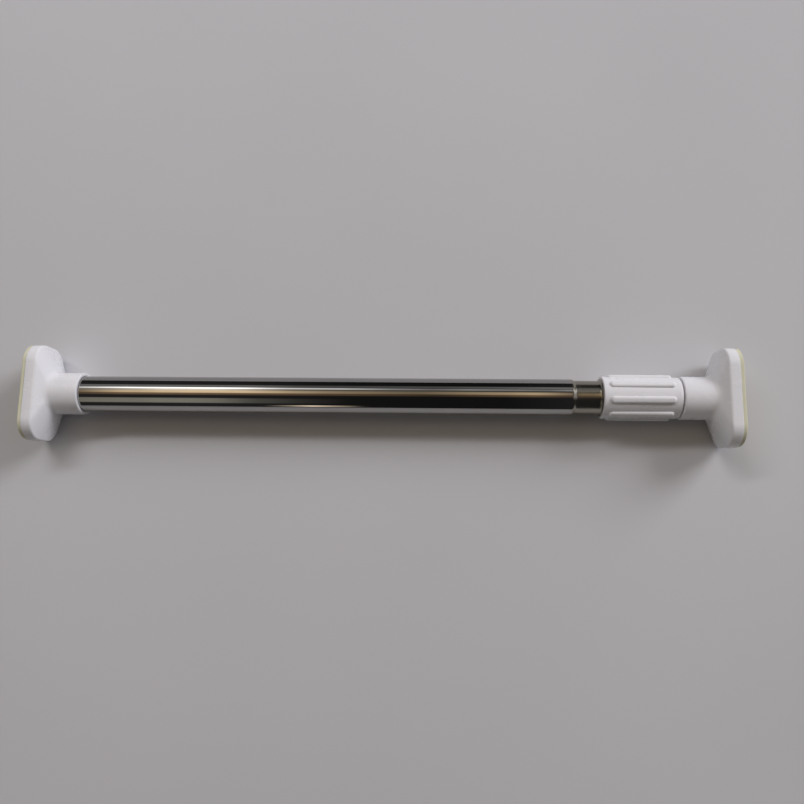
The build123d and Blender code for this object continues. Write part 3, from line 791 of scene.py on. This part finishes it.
class Room(Nodes):
    """The soft studio around the bar, as bands of tone by the angle about the bar's axis.

    The angle is from straight up towards +Y, in degrees. Along the bar, a band's level follows the x part
    of the direction.
    """

    def __init__(self):
        world = bpy.data.worlds.new("room")
        bpy.context.scene.world = world
        world.use_nodes = True
        super().__init__(world.node_tree)
        self.background = self.tree.nodes["Background"]
        split = self.new("ShaderNodeSeparateXYZ")
        self.link(self.new("ShaderNodeTexCoord").outputs["Generated"], split.inputs[0])
        angle = self.maths("ARCTAN2", split.outputs["Y"], split.outputs["Z"])
        self.angle = self.maths("MULTIPLY", angle, 180 / math.pi)
        self.along = self.maths("MULTIPLY_ADD", split.outputs["X"], 0.5, 0.5)
        self.total = None

    def step(self, middle, soft):
        """Rises smoothly from 0 to 1 about an angle."""
        return self.ranged(self.angle, middle - soft, middle + soft, kind="SMOOTHSTEP")

    def levels(self, stops):
        """A level from 0 to 1 that follows (x part of the direction, level) stops."""
        node = self.new("ShaderNodeValToRGB")
        ramp = node.color_ramp
        ramp.elements.remove(ramp.elements[-1])
        for i, (x, level) in enumerate(stops):
            stop = ramp.elements.new(x / 2 + 0.5) if i else ramp.elements[0]
            stop.position = x / 2 + 0.5
            stop.color = (level, level, level, 1)
        self.link(self.along, node.inputs["Fac"])
        return node.outputs["Color"]

    def band(self, low, high, soft, strength, colour, stops):
        """Adds one band between two angles, soft at its sides."""
        inside = self.maths("SUBTRACT", self.step(low, soft), self.step(high, soft))
        level = self.maths("MULTIPLY", self.maths("MULTIPLY", inside, self.levels(stops)), strength)
        tint = self.new("ShaderNodeVectorMath", operation="SCALE")
        tint.inputs[0].default_value = colour
        self.link(level, tint.inputs["Scale"])
        if self.total is None:
            self.total = tint.outputs[0]
            return
        both = self.new("ShaderNodeVectorMath", operation="ADD")
        self.link(self.total, both.inputs[0])
        self.link(tint.outputs[0], both.inputs[1])
        self.total = both.outputs[0]

    def finish(self, plain):
        """Lights the scene with the bands; where the camera sees past the floor there is one plain tone."""
        seen = self.new("ShaderNodeLightPath").outputs["Is Camera Ray"]
        self.link(self.mixed(seen, self.total, plain), self.background.inputs["Color"])


def make_room():
    """The bands that the steel and the mouldings see: angles, softness, strength, colour and levels."""
    room = Room()
    ends = ((-0.80, 0.4), (-0.50, 0.0), (0.26, 0.0), (0.70, 1.0))
    # dim walls all round, then the ceiling and the far wall past the bar's ends, where the tube
    # doesn't reflect them
    room.band(-180, 180, 1, 0.03, (1.0, 0.96, 0.97), (
        (-0.30, 1.0), (-0.10, 0.45), (0.10, 0.45), (0.25, 1.0)))
    room.band(-15, 45, 10, 0.46, (0.97, 0.95, 1.0), ends)
    room.band(40, 100, 10, 0.20, (0.97, 0.95, 1.0), ends)
    # the window's soft reflection beyond the adjustable end
    room.band(38, 60, 4, 1.2, (0.97, 0.96, 1.0), ((0.50, 0.0), (0.66, 1.0), (0.82, 1.0), (0.92, 0.0)))
    # the bright strip, and the pale wall behind it
    room.band(30, 39.5, 3, 3.3, (1.0, 0.98, 0.96), (
        (-0.55, 0.0), (-0.46, 0.35), (-0.40, 0.9), (-0.28, 1.0), (-0.21, 0.4), (-0.13, 0.34),
        (-0.06, 0.15), (0.0, 0.09), (0.05, 0.15), (0.18, 0.09), (0.22, 0.15), (0.28, 0.12)))
    room.band(43, 57, 3, 0.29, (1.0, 1.0, 1.0), (
        (-0.55, 0.5), (-0.46, 0.9), (-0.26, 0.9), (-0.19, 0.4), (0.0, 0.4), (0.20, 0.9)))
    # the warm glow overhead, cream to amber to brown
    room.band(20, 29, 3, 1.43, (1.0, 0.90, 0.74), (
        (-0.55, 0.0), (-0.46, 0.2), (-0.41, 0.4), (-0.36, 1.0), (-0.30, 1.0), (-0.25, 0.45),
        (-0.20, 0.15), (-0.10, 0.08), (0.20, 0.05), (0.28, 0.0)))
    room.band(4, 20, 4, 1.43, (1.0, 0.76, 0.47), (
        (-0.55, 0.0), (-0.46, 0.18), (-0.41, 0.80), (-0.33, 1.0), (-0.26, 0.95), (-0.20, 0.55),
        (-0.13, 0.33), (-0.02, 0.19), (0.08, 0.45), (0.15, 0.60), (0.20, 0.40), (0.28, 0.0)))
    room.band(-9, 5, 5, 0.29, (1.0, 0.62, 0.33), (
        (-0.55, 0.2), (-0.46, 0.4), (-0.40, 1.0), (-0.30, 0.8), (-0.10, 0.5), (0.0, 0.25),
        (0.15, 0.8), (0.28, 0.2)))
    # the pale panel on the near side, and a low warm spot under it
    room.band(-63, -31, 4, 0.37, (1.0, 0.96, 0.80), (
        (-0.60, 0.3), (-0.46, 0.8), (-0.36, 1.0), (-0.30, 0.8), (-0.25, 0.3), (-0.19, 0.1), (-0.12, 0.0)))
    room.band(-85, -77, 3, 2.0, (1.0, 0.82, 0.62), (
        (-0.23, 0.0), (-0.20, 0.3), (-0.17, 1.0), (-0.14, 0.5), (-0.10, 0.0)))
    room.finish(PAST_FLOOR)


# ---------------------------------------------------------------- the scene

feet, pads = make_feet()
tube = make_outer_tube()
inner = make_inner_tube()
grip = make_grip()
screw = make_jack_screw()

# Each with its two tones, its roughness from low to high, and what else its maker takes
materials = {
    "white_abs": white_abs(),
    "pad_rubber": pad_rubber(),
    "polished_stainless": steel("polished_stainless", (0.44, 0.433, 0.425), (0.40, 0.393, 0.385),
                                0.03, 0.075, DULL_SPAN),
    "inner_stainless": steel("inner_stainless", (0.60, 0.59, 0.58), (0.55, 0.54, 0.53), 0.09, 0.2),
    "plated_steel": turned_metal("plated_steel", (0.60, 0.60, 0.62), (0.50, 0.51, 0.54), 0.22, 0.36),
    "rivet_aluminium": turned_metal("rivet_aluminium", (0.72, 0.72, 0.73), (0.62, 0.62, 0.63), 0.3, 0.45),
    "spring_steel": turned_metal("spring_steel", (0.10, 0.10, 0.11), (0.06, 0.06, 0.065), 0.3, 0.5),
    "natural_nylon": nylon("natural_nylon", (0.76, 0.73, 0.65), (0.70, 0.67, 0.58)),
    "cam_nylon": nylon("cam_nylon", (0.05, 0.052, 0.058), (0.035, 0.036, 0.04)),
    "brass": turned_metal("brass", (0.72, 0.53, 0.25), (0.62, 0.45, 0.20), 0.2, 0.34),
}
new_pieces = [(piece, "white_abs") for piece in feet + [grip]]
new_pieces += [(piece, "pad_rubber") for piece in pads]
new_pieces += [(tube, "polished_stainless"), (inner, "inner_stainless"), (screw, "plated_steel")]
dress(materials, new_pieces)

make_floor(floor_paper())
make_camera()
area_light("strip", place=(-0.45, 0.88, 1.25), aim=(-0.25, 0.0, 0.0), size=(1.0, 0.16), power=6.4)
area_light("window", place=(2.62, 1.62, 1.40), aim=(0.25, 0.0, 0.0), size=(1.25, 1.25), power=55)
make_room()
bpy.context.scene.view_settings.view_transform = "Standard"
